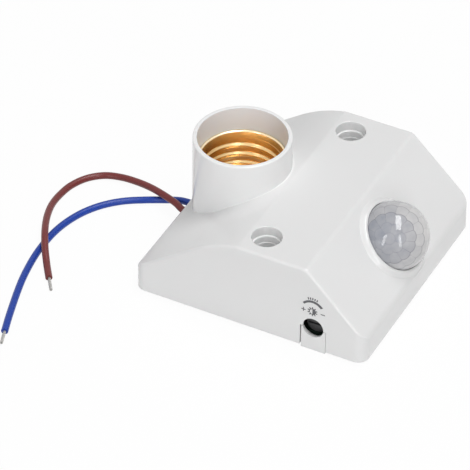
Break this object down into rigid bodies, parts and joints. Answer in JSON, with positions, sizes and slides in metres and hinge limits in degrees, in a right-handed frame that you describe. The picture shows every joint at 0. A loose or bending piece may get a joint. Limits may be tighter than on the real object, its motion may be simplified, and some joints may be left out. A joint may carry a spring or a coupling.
{
  "type": "motion sensor lamp holder",
  "caption": "Surface-mounted holder for a screw-in lamp, with a motion sensor behind a faceted dome, a light-level adjuster in its side wall and bare-ended supply leads.",
  "frame": {"origin": "middle of the flat mounting face, the underside of the base plate", "axes": "+X from the lamp socket to the sensor dome, +Z away from the mounting face, adjuster on -Y"},
  "size_m": [0.1294, 0.1237, 0.0415],
  "materials": {
    "white_plastic": "moulded, semi-gloss",
    "lens_plastic": "translucent, with small facets",
    "socket_insulator": "moulded, matt",
    "brass": "rolled sheet",
    "spring_bronze": "rolled strip",
    "plated_steel": "bright plating",
    "board_laminate": "solder mask",
    "dark_plastic": "moulded",
    "relay_case": "moulded",
    "resistor_body": "cement coating",
    "film_capacitor_case": "moulded",
    "brown_insulation": "extruded",
    "blue_insulation": "extruded",
    "red_insulation": "extruded",
    "white_insulation": "extruded",
    "tinned_copper": "dipped in solder"
  },
  "bodies": {
    "body": {"base_plate": "white_plastic", "base_screw_1": "plated_steel", "base_screw_2": "plated_steel", "base_screw_3": "plated_steel", "base_screw_4": "plated_steel", "centre_contact": "spring_bronze", "circuit_board": "board_laminate", "contact_rivet": "spring_bronze", "contact_wire": "red_insulation", "controller_chip": "dark_plastic", "film_capacitor": "film_capacitor_case", "fuse_resistor": "resistor_body", "housing": "white_plastic", "insert_screw_1": "plated_steel", "insert_screw_2": "plated_steel", "lens": "lens_plastic", "lens_retainer": "white_plastic", "light_cell": "dark_plastic", "link_pin_1": "tinned_copper", "link_pin_2": "tinned_copper", "link_pin_3": "tinned_copper", "live_lead": "brown_insulation", "live_lead_inner": "brown_insulation", "live_lead_tip": "tinned_copper", "neutral_lead": "blue_insulation", "neutral_lead_inner": "blue_insulation", "neutral_lead_tip": "tinned_copper", "pir_sensor": "plated_steel", "pir_window": "dark_plastic", "rectifier_diode_1": "dark_plastic", "rectifier_diode_2": "dark_plastic", "rectifier_diode_3": "dark_plastic", "rectifier_diode_4": "dark_plastic", "relay": "relay_case", "screw_shell": "brass", "sensor_board": "board_laminate", "sensor_screw_1": "plated_steel", "sensor_screw_2": "plated_steel", "shell_rivet_1": "brass", "shell_rivet_2": "brass", "shell_wire": "white_insulation", "smoothing_capacitor": "dark_plastic", "socket_insert": "socket_insulator", "trimmer_body": "dark_plastic"},
    "adjuster": {"trimmer_rotor": "dark_plastic"}
  },
  "joints": [
    {"name": "adjuster_turn", "type": "hinge", "parent": "body", "child": "adjuster", "pos_m": [0.023, -0.0365, 0.00895], "axis": [0, -1, 0], "range_deg": [-135, 135]}
  ]
}
